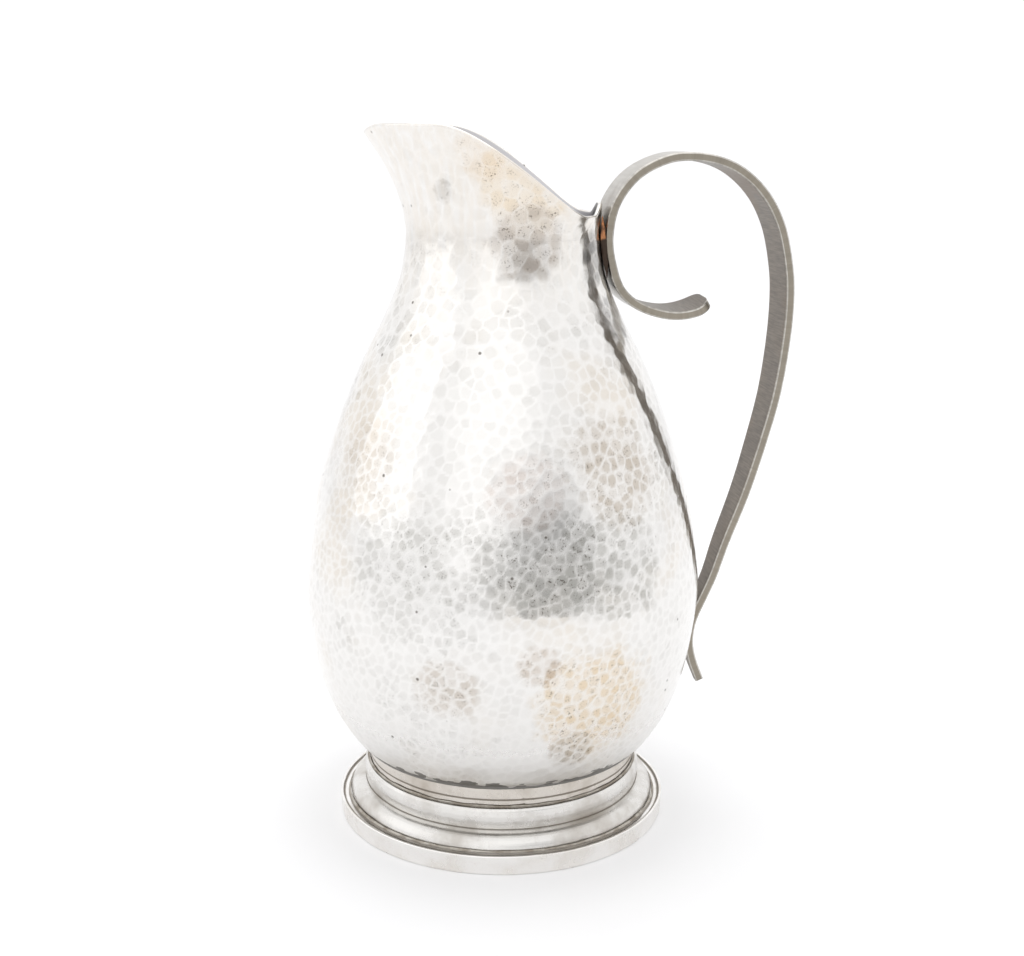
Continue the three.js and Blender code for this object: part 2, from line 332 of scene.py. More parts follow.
@dataclass(frozen=True)
class HammeredSilver:
    """Planished metal: bright where the marks meet and greyer in the dimples, partly tarnish and partly
    painted shade, with tan and grey patches, a painted reflection of the handle beside it, and painted
    shade at the heel and inside the back of the mouth.
    """

    axis: float
    bright: Colour = (0.84, 0.828, 0.81)
    dimple: Colour = (0.71, 0.697, 0.673)
    grey: Colour = (0.40, 0.395, 0.37)
    tan: Colour = (0.70, 0.60, 0.47)
    inner: Colour = (0.52, 0.51, 0.52)
    shade: Colour = (0.10, 0.095, 0.09)
    pit: Colour = (0.10, 0.085, 0.07)
    heel: Colour = (0.17, 0.165, 0.155)
    patches: tuple[Patch, ...] = (
        Patch((8, -74, 120), 28, (0.38, 0.375, 0.36), 0.75, 103.6),
        Patch((-8, -76, 112), 26, (0.42, 0.41, 0.39), 0.45, 103.6),
        Patch((-46, -60, 116), 28, (0.50, 0.49, 0.46), 0.35),
        Patch((30, -68, 118), 28, (0.42, 0.41, 0.38), 0.55, 100),
        Patch((34, -60, 152), 26, (0.50, 0.43, 0.35), 0.6),
        Patch((0, -70, 146), 18, (0.62, 0.50, 0.44), 0.35),
        Patch((24, -68, 68), 28, (0.74, 0.60, 0.42), 0.7),
        Patch((2, -74, 86), 10, (0.48, 0.37, 0.27), 0.6),
        Patch((16, -66, 50), 11, (0.36, 0.29, 0.21), 0.6),
        Patch((-30, -68, 76), 16, (0.55, 0.47, 0.39), 0.45),
        Patch((-55, -38, 152), 20, (0.55, 0.48, 0.40), 0.35),
        Patch((4, -40, 249), 22, (0.78, 0.66, 0.50), 0.6),
        Patch((-14, -42, 258), 12, (0.74, 0.62, 0.48), 0.45),
        Patch((4, -38, 229), 17, (0.45, 0.40, 0.35), 0.75),
        Patch((-27, -31, 246), 6, (0.34, 0.31, 0.27), 0.6),
        # Dark patches either side of the handle: a painted reflection of the handle, mirrored on the far
        # side.
        Patch((31, -19, 222), 15, (0.27, 0.265, 0.26), 0.75),
        Patch((31, 19, 222), 15, (0.27, 0.265, 0.26), 0.75),
        Patch((40, -24, 200), 14, (0.36, 0.355, 0.35), 0.55),
        Patch((40, 24, 200), 14, (0.36, 0.355, 0.35), 0.55),
    )

    def material(self) -> bpy.types.Material:
        """Makes the material's nodes.

        Returns:
            The finished material.
        """
        s = Shader(bpy.data.materials.new("hammered silver"))
        ridge = s.mark("ridge")
        tone = s.mark("tone")
        inside = s.mark("inside")
        up = s.height()
        cloud = s.noise(28, 4, 0.6)
        rough = s.noise(85, 5, 0.65)
        fine = s.noise(420, 4, 0.65)
        speck = s.noise(1500, 2, 0.6)
        drawn = s.noise(1.0, 3, 0.6, s.stretched(s.place, (380.0, 380.0, 45.0)))
        dish = (1 - ridge) * up.ramp(0.195, 0.235, 1.0, 0.55) * up.ramp(0.045, 0.085, 0.45, 1.0)

        soil = cloud.ramp(0.44, 0.66) * rough.ramp(0.36, 0.66) * 0.32
        # Bright where the marks meet, greyer in the dimples: partly tarnish in the dimples, partly painted
        # shade standing for the hammer marks' light and shade.
        colour = s.blend(dish * (0.25 + 0.5 * tone), self.bright, self.dimple)
        colour = s.blend(soil * (0.3 + 1.1 * tone) * dish, colour, self.grey)
        warm = s.noise(19, 3, 0.55).ramp(0.50, 0.72, 0.0, 0.42) * (0.25 + 0.75 * dish)
        colour = s.blend(warm + up.ramp(0.19, 0.24) * 0.26 * drawn.ramp(0.25, 0.65), colour, self.tan)
        held = up.ramp(0.195, 0.235, 0.72, 0.35)
        for patch in self.patches:
            x, y, z = patch.centre
            spot = s.near(((x + self.axis) * MM, y * MM, z * MM), patch.reach * 1.25 * MM)
            shown = (spot * 1.5 + rough * 2.2 - 1.50).ramp(0.0, 0.85) * patch.strength
            shown = shown * (up + 0.002 * tone).ramp((patch.lowest - 0.2) * MM, (patch.lowest + 1.2) * MM)
            colour = s.blend(shown * (0.45 + 0.75 * tone) * (1 - ridge * held), colour, patch.colour)
            soil = soil + shown * 0.6
        x, y, z = self.patches[0].centre
        # A grey band just above the first patch's level lower edge.
        level_grey_band = up.ramp(0.1038, 0.1048) * up.ramp(0.146, 0.108)
        level_grey_band = level_grey_band * s.near(((x + self.axis) * MM, y * MM, z * MM), 34 * MM)
        colour = s.blend(level_grey_band * (0.25 + 0.35 * tone) * (1 - 0.5 * ridge), colour, self.grey)
        dots = speck.ramp(0.50, 0.66) * fine.ramp(0.45, 0.6) * soil * (1 - ridge) * 1.3
        colour = s.blend(dots, colour, self.pit)
        # Painted shade along the heel, where the wall turns under, with a jagged edge that follows the
        # marks.
        heel = (up + 0.004 * rough + 0.005 * tone).ramp(0.0374, 0.0368)
        colour = s.blend(heel * 0.9, colour, self.heel)
        gap, chance = s.cells(95)
        pits = gap.ramp(0.075, 0.03) * chance.ramp(0.60, 0.61)
        colour = s.blend(pits * 0.8, colour, self.pit)
        # Painted shade inside the back of the mouth, by the handle.
        shaded_back_wedge = s.near(((36 + self.axis) * MM, -4 * MM, 236 * MM), 15 * MM)
        colour = s.blend(inside, colour, s.blend(shaded_back_wedge, self.inner, self.shade))
        shine = 0.13 + 0.16 * soil + 0.07 * fine.ramp(0.35, 0.75) + 0.2 * inside
        shine = shine + up.ramp(0.062, 0.040) * 0.2
        relief = fine * 0.5 + speck * 0.2 - pits * 1.4
        return s.surface(
            Base_Color=colour, Metallic=1.0, Roughness=shine, Normal=s.bump(relief, 0.00005)
        )


@dataclass(frozen=True)
class PolishedSilver:
    """Bright turned metal with grime left in its corners and fine scratches round it."""

    name: str
    clean: Colour = (0.90, 0.885, 0.865)
    stain: Colour = (0.66, 0.61, 0.54)
    grime: Colour = (0.20, 0.17, 0.135)
    shine: float = 0.15
    stained: float = 0.4

    def material(self) -> bpy.types.Material:
        """Makes the material's nodes.

        Returns:
            The finished material.
        """
        s = Shader(bpy.data.materials.new(self.name))
        hollow = s.mark("hollow")
        cloud = s.noise(55, 4, 0.6)
        speck = s.noise(420, 3, 0.65)
        turned = s.noise(1.0, 3, 0.6, s.stretched(s.place, (60.0, 60.0, 2600.0)))
        stain = cloud.ramp(0.42, 0.72, 0.0, self.stained) + speck.ramp(0.55, 0.8, 0.0, 0.25)
        colour = s.blend(stain, self.clean, self.stain)
        dirt = (hollow * (0.55 + cloud)).ramp(0.35, 0.9)
        colour = s.blend(dirt * 0.8, colour, self.grime)
        gap, chance = s.cells(130)
        pits = gap.ramp(0.08, 0.03) * chance.ramp(0.75, 0.76)
        colour = s.blend(pits * 0.7, colour, self.grime)
        shine = self.shine + 0.14 * cloud.ramp(0.35, 0.8) + 0.35 * dirt + 0.08 * speck
        relief = turned * 0.5 + speck * 0.35 - pits * 1.0
        return s.surface(
            Base_Color=colour,
            Metallic=1.0 - 0.5 * dirt,
            Roughness=shine,
            Normal=s.bump(relief, 0.00003),
        )


@dataclass(frozen=True)
class DullSilver:
    """The handle's brushed metal: brown-grey and scratched across, with a painted highlight on its bevelled
    edges and painted light on its outer and side faces.
    """

    dark: Colour = (0.108, 0.091, 0.075)
    light: Colour = (0.240, 0.209, 0.174)
    side: Colour = (0.36, 0.328, 0.272)
    edge: Colour = (0.60, 0.58, 0.54)
    brown: Colour = (0.16, 0.115, 0.08)

    def material(self) -> bpy.types.Material:
        """Makes the material's nodes.

        Returns:
            The finished material.
        """
        s = Shader(bpy.data.materials.new("dull silver"))
        grain = s.mark_vector("grain")
        edge = s.mark("edge")
        outer = s.mark("outer")
        side = s.mark("side")
        cloud = s.noise(70, 4, 0.6)
        brushed = s.noise(1.0, 3, 0.65, s.stretched(grain, (1900.0, 90.0, 90.0)))
        streak = s.noise(1.0, 2, 0.6, s.stretched(grain, (700.0, 55.0, 55.0)))
        colour = s.blend(brushed.ramp(0.3, 0.7) * 0.6 + cloud.ramp(0.3, 0.75) * 0.4, self.dark, self.light)
        # Painted light on the strap's outer face.
        colour = s.blend(outer * (0.45 + 0.5 * streak), colour, self.edge)
        colour = s.blend(s.noise(35, 3).ramp(0.5, 0.72) * 0.55, colour, self.brown)
        # Painted light on the strap's side faces.
        colour = s.blend(side * (0.45 + 0.5 * streak), colour, self.side)
        # Painted highlight along the bevelled edges.
        colour = s.blend(edge * (0.60 + 0.35 * streak.ramp(0.3, 0.65)), colour, self.edge)
        shine = 0.34 + 0.16 * cloud - 0.12 * edge - 0.10 * outer
        relief = brushed * 0.7 + streak * 0.5
        return s.surface(
            Base_Color=colour, Metallic=1.0, Roughness=shine, Normal=s.bump(relief, 0.00010)
        )


@dataclass(frozen=True)
class Filler:
    """Solder or braze that was left as it ran. Heights are in metres."""

    name: str
    main: Colour
    crust_and_shadow: Colour
    shine: float
    shadow_top: float = 0.0

    def material(self) -> bpy.types.Material:
        """Makes the material's nodes: crusted in patches, and darkened by a painted shadow below a given
        height.

        Returns:
            The finished material.
        """
        s = Shader(bpy.data.materials.new(self.name))
        lumps = s.noise(600, 4, 0.6)
        # Painted shadow below the shadow's top height.
        painted_shadow = (s.height() + 0.004 * lumps).ramp(self.shadow_top + 0.003, self.shadow_top)
        crust_and_shadow = (s.noise(160, 3, 0.6).ramp(0.40, 0.62) + painted_shadow).at_most(1.0)
        colour = s.blend(crust_and_shadow, self.main, self.crust_and_shadow)
        return s.surface(
            Base_Color=colour,
            Metallic=1.0 - 0.4 * crust_and_shadow,
            Roughness=self.shine + 0.25 * crust_and_shadow,
            Normal=s.bump(lumps, 0.0002),
        )


@dataclass(frozen=True)
class PaleFloor:
    """A matt white studio floor."""

    colour: Colour = (0.92, 0.92, 0.925)

    def material(self) -> bpy.types.Material:
        """Makes the material's nodes.

        Returns:
            The finished material.
        """
        s = Shader(bpy.data.materials.new("pale floor"))
        shade = s.blend(s.noise(3, 2).ramp(0.3, 0.7), self.colour, tuple(c * 0.985 for c in self.colour))
        return s.surface(Base_Color=shade, Roughness=0.75)


# ---------------------------------------------------------------- shared geometry


def smooth(share: np.ndarray) -> np.ndarray:
    """A smooth step from 0 to 1."""
    held = np.clip(share, 0.0, 1.0)
    return held * held * (3.0 - 2.0 * held)


def ripple(points: np.ndarray, wavelength: float, seed: int) -> np.ndarray:
    """Gentle waves in every direction.

    Args:
        points: positions, the last axis being x, y and z.
        wavelength: the waves' mean length, in the same unit.
        seed: picks the waves.

    Returns:
        A height from about -1 to 1 at each point.
    """
    dice = np.random.default_rng(seed)
    total = np.zeros(points.shape[:-1])
    waves = 9
    for _ in range(waves):
        direction = dice.normal(size=3)
        direction *= 2 * np.pi / (wavelength * dice.uniform(0.7, 1.5) * np.linalg.norm(direction))
        total += np.sin(points @ direction + dice.uniform(0, 2 * np.pi))
    return total / math.sqrt(waves)


def line_through(points: np.ndarray, spread: float, ends: np.ndarray, samples: int = 40) -> np.ndarray:
    """A smooth line through points.

    Args:
        points: the points it passes.
        spread: 0 gives every span the same weight, 0.5 gives it the root of its length.
        ends: one more point before the first and one after the last, which set the slopes there.
        samples: points on each span.

    Returns:
        Points along the line.
    """
    p = np.vstack([ends[:1], points, ends[1:]])
    steps = np.maximum(np.linalg.norm(np.diff(p, axis=0), axis=1), 1e-9) ** spread
    knots = np.concatenate([[0.0], np.cumsum(steps)])
    spans = []
    for i in range(1, len(p) - 2):
        k0, k1, k2, k3 = knots[i - 1 : i + 3]
        t = np.linspace(k1, k2, samples, endpoint=i == len(p) - 3)[:, None]
        a1 = (k1 - t) / (k1 - k0) * p[i - 1] + (t - k0) / (k1 - k0) * p[i]
        a2 = (k2 - t) / (k2 - k1) * p[i] + (t - k1) / (k2 - k1) * p[i + 1]
        a3 = (k3 - t) / (k3 - k2) * p[i + 1] + (t - k2) / (k3 - k2) * p[i + 2]
        b1 = (k2 - t) / (k2 - k0) * a1 + (t - k0) / (k2 - k0) * a2
        b2 = (k3 - t) / (k3 - k1) * a2 + (t - k1) / (k3 - k1) * a3
        spans.append((k2 - t) / (k2 - k1) * b1 + (t - k1) / (k2 - k1) * b2)
    return np.vstack(spans)


def even_steps(points: np.ndarray, step: float) -> np.ndarray:
    """The same line with points a step apart.

    Args:
        points: the line.
        step: the wanted spacing.

    Returns:
        Evenly spaced points from its start to its end.
    """
    along = np.concatenate([[0.0], np.cumsum(np.linalg.norm(np.diff(points, axis=0), axis=1))])
    wanted = np.linspace(0.0, along[-1], max(2, int(round(along[-1] / step)) + 1))
    return np.stack([np.interp(wanted, along, points[:, k]) for k in range(points.shape[1])], axis=-1)


def eased(outline: list[tuple[float, float]], radius: float, step: float) -> np.ndarray:
    """A closed outline with its corners rounded and its sides cut into steps.

    Args:
        outline: its corners.
        radius: how far from a corner the rounding starts.
        step: the longest side left.

    Returns:
        The finer outline, without its first point repeated.
    """
    corners = np.array(outline, float)
    rounded = []
    for before, corner, after in zip(np.roll(corners, 1, 0), corners, np.roll(corners, -1, 0)):
        start = corner + (before - corner) * min(0.45, radius / np.linalg.norm(before - corner))
        end = corner + (after - corner) * min(0.45, radius / np.linalg.norm(after - corner))
        for t in (0.0, 0.25, 0.5, 0.75, 1.0):
            rounded.append((1 - t) ** 2 * start + 2 * t * (1 - t) * corner + t * t * end)
    fine = []
    for here, there in zip(rounded, rounded[1:] + rounded[:1]):
        pieces = max(1, math.ceil(np.linalg.norm(there - here) / step))
        fine += [here + (there - here) * k / pieces for k in range(pieces)]
    return np.array(fine)


def hollowness(outline: np.ndarray, reach: float) -> np.ndarray:
    """How deep in a corner each point of a closed outline lies.

    Args:
        outline: the outline, anticlockwise.
        reach: how far grime spreads from a corner.

    Returns:
        0 on open faces and 1 in the corners that face out.
    """
    before = outline - np.roll(outline, 1, 0)
    after = np.roll(outline, -1, 0) - outline
    turn = np.arctan2(
        before[:, 0] * after[:, 1] - before[:, 1] * after[:, 0], (before * after).sum(1)
    )
    inward = np.maximum(0.0, -turn)
    apart = np.linalg.norm(outline[:, None] - outline[None], axis=-1)
    return np.clip((np.exp(-((apart / reach) ** 2)) * inward[None]).sum(1), 0.0, 1.0)


def grid_piece(
    name: str, points: np.ndarray, section: Section, axis: float, marks: dict[str, np.ndarray]
) -> bpy.types.Object:
    """Makes one closed piece from a grid of points whose columns go right round.

    Args:
        name: the piece's name.
        points: rows, columns and x, y, z, in millimetres from the pitcher's axis.
        section: how the rows end.
        axis: where the pitcher's axis is on X, in millimetres.
        marks: numbers or vectors that each point holds for its finish.

    Returns:
        The new object, facing out, with smooth shading.
    """
    rows, columns = points.shape[:2]
    index = np.arange(rows * columns).reshape(rows, columns)
    low, high = (index, np.roll(index, -1, 0)) if section is Section.LOOP else (index[:-1], index[1:])
    quads = np.stack([low, np.roll(low, -1, 1), np.roll(high, -1, 1), high], axis=-1).reshape(-1, 4)
    vertices = points.reshape(-1, 3)
    values = {key: value.reshape(rows * columns, -1) for key, value in marks.items()}
    faces = quads.tolist()
    if section is Section.CAPPED:
        for row, turn in ((index[0], 1), (index[-1], -1)):
            hub = len(vertices)
            vertices = np.vstack([vertices, vertices[row].mean(0)])
            values = {key: np.vstack([value, value[row].mean(0)]) for key, value in values.items()}
            pair = np.stack([np.roll(row, -1), row], axis=-1)[:, ::turn]
            faces += [[int(a), int(b), hub] for a, b in pair]
    a, b, c, d = (vertices[quads[:, k]] for k in range(4))
    volume = (np.cross(a, b) * c).sum() + (np.cross(a, c) * d).sum()
    if volume < 0:
        faces = [face[::-1] for face in faces]
    mesh = bpy.data.meshes.new(name)
    mesh.from_pydata(((vertices + [axis, 0.0, 0.0]) * MM).tolist(), [], faces)
    for key, value in values.items():
        kind = "FLOAT" if value.shape[1] == 1 else "FLOAT_VECTOR"
        layer = mesh.attributes.new(key, kind, "POINT")
        layer.data.foreach_set("value" if kind == "FLOAT" else "vector", value.astype(np.float32).ravel())
    mesh.polygons.foreach_set("use_smooth", [True] * len(mesh.polygons))
    mesh.update()
    piece = bpy.data.objects.new(name, mesh)
    bpy.context.scene.collection.objects.link(piece)
    return piece


def grid_normals(points: np.ndarray) -> np.ndarray:
    """Unit normals of a grid whose columns go right round.

    Args:
        points: rows by columns of points.

    Returns:
        One normal per point, pointing away from the axis side of each row.
    """
    along = np.gradient(points, axis=0)
    across = np.roll(points, -1, 1) - np.roll(points, 1, 1)
    normal = np.cross(across, along)
    return normal / np.maximum(np.linalg.norm(normal, axis=-1, keepdims=True), 1e-9)


def spin(outline: np.ndarray, columns: int) -> np.ndarray:
    """Turns an outline of radius and height round the axis.

    Args:
        outline: its points.
        columns: how many copies stand round the axis.

    Returns:
        A grid of points.
    """
    turn = np.linspace(0, 2 * np.pi, columns, endpoint=False)
    radius, height = outline[:, :1], outline[:, 1:]
    return np.stack(
        [radius * np.cos(turn), radius * np.sin(turn), np.repeat(height, columns, 1)], axis=-1
    )


def dress(piece: bpy.types.Object, material: bpy.types.Material, slot: Slot, *nodes: str) -> None:
    """Finishes a piece and puts it in the place of its plain solids.

    Args:
        piece: the new piece.
        material: its finish.
        slot: not used.
        *nodes: the plain solids that it stands for.
    """
    piece.data.materials.clear()
    piece.data.materials.append(material)
    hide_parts(*nodes)
    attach(piece, "root")
    log.info("%s: %d faces, %s", piece.name, len(piece.data.polygons), material.name)


# ---------------------------------------------------------------- the foot


@dataclass
class Foot:
    """The base band, the foot moulding and the collar, with the solder between them."""

    axis: float
    base_radius: float = 65.3
    base_height: float = 7.5
    base_wall: float = 2.4
    base_draft: float = 0.4
    ledge_width: float = 3.4
    ledge_height: float = 1.8
    groove_width: float = 2.6
    groove_depth: float = 1.0
    step_radius: float = 61.0
    step_height: float = 13.2
    drum_radius: float = 54.9
    drum_swell: float = 0.5
    shoulder_height: float = 21.4
    foot_wall: float = 1.6
    collar_radius: float = 53.2
    collar_height: float = 7.8
    collar_wall: float = 1.6
    scribe_depth: float = 0.35
    scribe_rise: float = 2.6
    gap: float = 0.3
    solder_leg: float = 1.5
    fillet: float = 0.45
    columns: int = 288
    step: float = 0.9

    @property
    def collar_bottom(self) -> float:
        """Height of the collar's lower edge."""
        return self.shoulder_height + self.gap

    @property
    def body_bottom(self) -> float:
        """Height of the body's flat bottom."""
        return self.collar_bottom + self.collar_height + self.gap

    @property
    def shelf_top(self) -> float:
        """Height of the shelf that carries the moulding."""
        return self.base_height - self.groove_depth / 2

    def _ring(
        self, name: str, outline: list[tuple[float, float]], radius: float, reach: float
    ) -> tuple[np.ndarray, dict[str, np.ndarray]]:
        """Turns an outline into a ring with a trace of unevenness.

        Args:
            name: the piece, which seeds the unevenness.
            outline: its corners, anticlockwise as seen from -Y on the +X side.
            radius: how far its corners are rounded.
            reach: how far grime spreads in its hollows.

        Returns:
            The grid of points and its marks.
        """
        fine = eased(outline, radius, self.step)
        points = spin(fine, self.columns)
        seed = SEED + len(name)
        outwards = points * [1, 1, 0] / np.maximum(np.linalg.norm(points[..., :2], axis=-1), 1)[..., None]
        uneven = 0.05 * ripple(points, 26, seed) + 0.02 * ripple(points, 7, seed + 1)
        points = points + outwards * uneven[..., None]
        hollow = np.repeat(hollowness(fine, reach)[:, None], self.columns, 1)
        return points, {"hollow": hollow}

    def _dents(self, points: np.ndarray, count: int, low: float, high: float, seed: int) -> np.ndarray:
        """Presses small dents into the outer face between two heights.

        Args:
            points: the grid.
            count: how many dents.
            low: the lowest height.
            high: the highest height.
            seed: picks their places.

        Returns:
            The dented grid.
        """
        dice = np.random.default_rng(seed)
        flat = points.reshape(-1, 3).copy()
        radius = np.linalg.norm(flat[:, :2], axis=1)
        outer = np.where((flat[:, 2] > low) & (flat[:, 2] < high) & (radius > radius.max() - 2.5))[0]
        for centre in flat[dice.choice(outer, count)]:
            width = dice.uniform(0.8, 1.9)
            depth = dice.uniform(0.08, 0.30)
            apart = np.linalg.norm(flat - centre, axis=1)
            press = depth * np.exp(-((apart / width) ** 2))
            flat[:, :2] *= (1 - press / np.maximum(radius, 1))[:, None]
        return flat.reshape(points.shape)

    def base_band(self) -> bpy.types.Object:
        """Turns the ring that the pitcher stands on.

        Returns:
            The dressed ring.
        """
        inside = self.base_radius - self.base_wall
        groove_out = self.base_radius - 1
        groove_in = groove_out - self.groove_width
        corners = [
            (inside, 0),
            (self.base_radius - self.base_draft, 0),
            (self.base_radius, self.base_height),
            (groove_out, self.base_height),
            (groove_out - 0.3, self.base_height - self.groove_depth),
            (groove_in, self.base_height - self.groove_depth),
            (groove_in - 0.2, self.shelf_top),
            (inside - self.ledge_width, self.shelf_top),
            (inside - self.ledge_width, self.shelf_top - self.ledge_height),
            (inside, self.shelf_top - self.ledge_height),
        ]
        points, marks = self._ring("base_band", corners, 0.5, 0.5)
        points = self._dents(points, 16, 1.0, self.base_height + 1, SEED + 5)
        points[..., 2] = np.maximum(points[..., 2], 0.0)
        return grid_piece("base_band_turned", points, Section.LOOP, self.axis, marks)

    def _moulding_face(self, inset: float) -> list[tuple[float, float]]:
        """One face of the spun shell.

        Args:
            inset: how far under the outer face it lies.

        Returns:
            Its corners from the shoulder down.
        """
        bottom = self.shelf_top + self.gap
        rise = self.step_height - bottom
        middle = (self.step_height + self.shoulder_height) / 2
        spread = self.step_radius - self.drum_radius
        drop = inset * 0.9
        quarter = [
            (
                self.drum_radius + spread * math.cos(math.radians(a)) - inset,
                max(bottom + inset * 0.1, bottom + rise * math.sin(math.radians(a)) - drop),
            )
            for a in range(90, 0, -10)
        ]
        return [
            (self.drum_radius - 0.6 - inset, self.shoulder_height - drop),
            (self.drum_radius + 0.1 - inset, self.shoulder_height - 0.9 - drop),
            (self.drum_radius + self.drum_swell - inset, middle + 0.9 - drop),
            (self.drum_radius + self.drum_swell - inset, middle - 0.6 - drop),
            (self.drum_radius + self.drum_swell * 0.4 - inset, self.step_height + 1.0 - drop),
            (self.drum_radius - inset, self.step_height + 0.1 - drop),
            *quarter,
            (self.step_radius - inset, bottom),
        ]

    def foot_moulding(self) -> bpy.types.Object:
        """Spins the shell in two steps.

        Returns:
            The dressed shell.
        """
        lip = self.collar_radius - self.collar_wall - 0.6
        shelf = [(lip, self.shoulder_height), (lip, self.shoulder_height - self.foot_wall * 0.9)]
        outside, inside = self._moulding_face(0.0), self._moulding_face(self.foot_wall)
        corners = (outside + inside[::-1] + shelf[::-1])[::-1]
        points, marks = self._ring("foot_moulding", corners, 0.3, 0.28)
        points = self._dents(points, 9, self.shelf_top, self.step_height, SEED + 9)
        return grid_piece("foot_moulding_spun", points, Section.LOOP, self.axis, marks)

    def collar_band(self) -> bpy.types.Object:
        """Bends the strip under the body, with its seam at the front and a line scribed round it.

        Returns:
            The dressed strip.
        """
        inside = self.collar_radius - self.collar_wall
        scribe = self.collar_bottom + self.scribe_rise
        top = self.collar_bottom + self.collar_height
        corners = [
            (inside, self.collar_bottom),
            (self.collar_radius, self.collar_bottom),
            (self.collar_radius, scribe - 0.35),
            (self.collar_radius - self.scribe_depth, scribe),
            (self.collar_radius, scribe + 0.35),
            (self.collar_radius, top),
            (inside, top),
        ]
        fine_columns = self.columns * 3
        fine = eased(corners, 0.14, 0.5)
        points = spin(fine, fine_columns)
        sideways = points[..., 0] - 1.0
        front = (points[..., 1] < 0) & (np.linalg.norm(points[..., :2], axis=-1) > inside + 0.5)
        seam = np.exp(-((sideways / 0.45) ** 2)) * front
        flow = 0.5 + 0.5 * ripple(points, 3.5, SEED + 31)
        wave = 0.06 * ripple(points, 17, SEED + 30) + 0.02 * ripple(points, 4, SEED + 33)
        moved = (wave - 0.22 * seam * (0.6 + 0.5 * flow)) / self.collar_radius
        points[..., :2] *= (1 + moved)[..., None]
        hollow = np.repeat(hollowness(fine, 0.45)[:, None], fine_columns, 1)
        edges = np.exp(-(((points[..., 2] - top) / 0.9) ** 2))
        marks = {"hollow": np.clip(hollow + 0.35 * seam + edges, 0, 1)}
        return grid_piece("collar_band_bent", points, Section.LOOP, self.axis, marks)

    def solder(self, name: str, radius: float, height: float, upward: int) -> bpy.types.Object:
        """One fillet of solder in the corner between an upright face and a level one.

        Args:
            name: the piece's name.
            radius: the upright face's radius.
            height: the level face's height.
            upward: 1 where it lies on a ledge, -1 where it hangs under one.

        Returns:
            The fillet.
        """
        turn = np.linspace(0, 2 * np.pi, self.columns, endpoint=False)
        ring = np.stack([np.cos(turn), np.sin(turn), np.zeros_like(turn)], axis=-1) * radius
        leg = self.solder_leg * (self.fillet + 0.09 * ripple(ring, 9, SEED + int(height)))
        leg = np.clip(leg, 0.3, self.solder_leg)
        arc = np.linspace(0, 1, 7)
        share = [(0.0, 0.0), *[(1 - t, t) for t in arc]]
        sag = [0.0, *[-0.28 * math.sin(math.pi * t) for t in arc]]
        rows = []
        for (out, up), dip in zip(share, sag):
            reach = radius + np.maximum(0.02, out + dip * 0.5) * leg
            rise = height + upward * np.maximum(0.02, up + dip * 0.5) * leg
            rows.append(np.stack([reach * np.cos(turn), reach * np.sin(turn), rise], axis=-1))
        return grid_piece(name, np.array(rows), Section.LOOP, self.axis, {})

    def build(self) -> None:
        """Makes and dresses every piece of the foot."""
        bright = PolishedSilver("polished silver", grime=(0.33, 0.29, 0.24)).material()
        satin = PolishedSilver(
            "satin silver", clean=(0.74, 0.725, 0.70), stain=(0.47, 0.435, 0.39), shine=0.2, stained=0.7
        ).material()
        collar = PolishedSilver(
            "collar silver", clean=(0.66, 0.62, 0.57), stain=(0.44, 0.39, 0.33), shine=0.2, stained=0.75
        ).material()
        grey = Filler("grey solder", (0.50, 0.47, 0.42), (0.34, 0.30, 0.25), 0.42).material()
        dress(self.base_band(), bright, Slot.POLISHED, "base_band")
        dress(self.foot_moulding(), satin, Slot.POLISHED, "foot_moulding")
        dress(self.collar_band(), collar, Slot.POLISHED, "collar_band")
        level, around = self.shelf_top + self.gap, self.collar_radius + self.gap
        fillets = (
            ("base_solder_fillet", self.step_radius + self.gap, level, 1, "base_solder"),
            ("collar_solder_fillet", around, self.collar_bottom, 1, "collar_solder"),
            ("body_solder_fillet", around, self.body_bottom - self.gap, -1, "body_solder"),
        )
        for name, radius, height, upward, node in fillets:
            dress(self.solder(name, radius, height, upward), grey, Slot.SOLDER, node)


# ---------------------------------------------------------------- the body


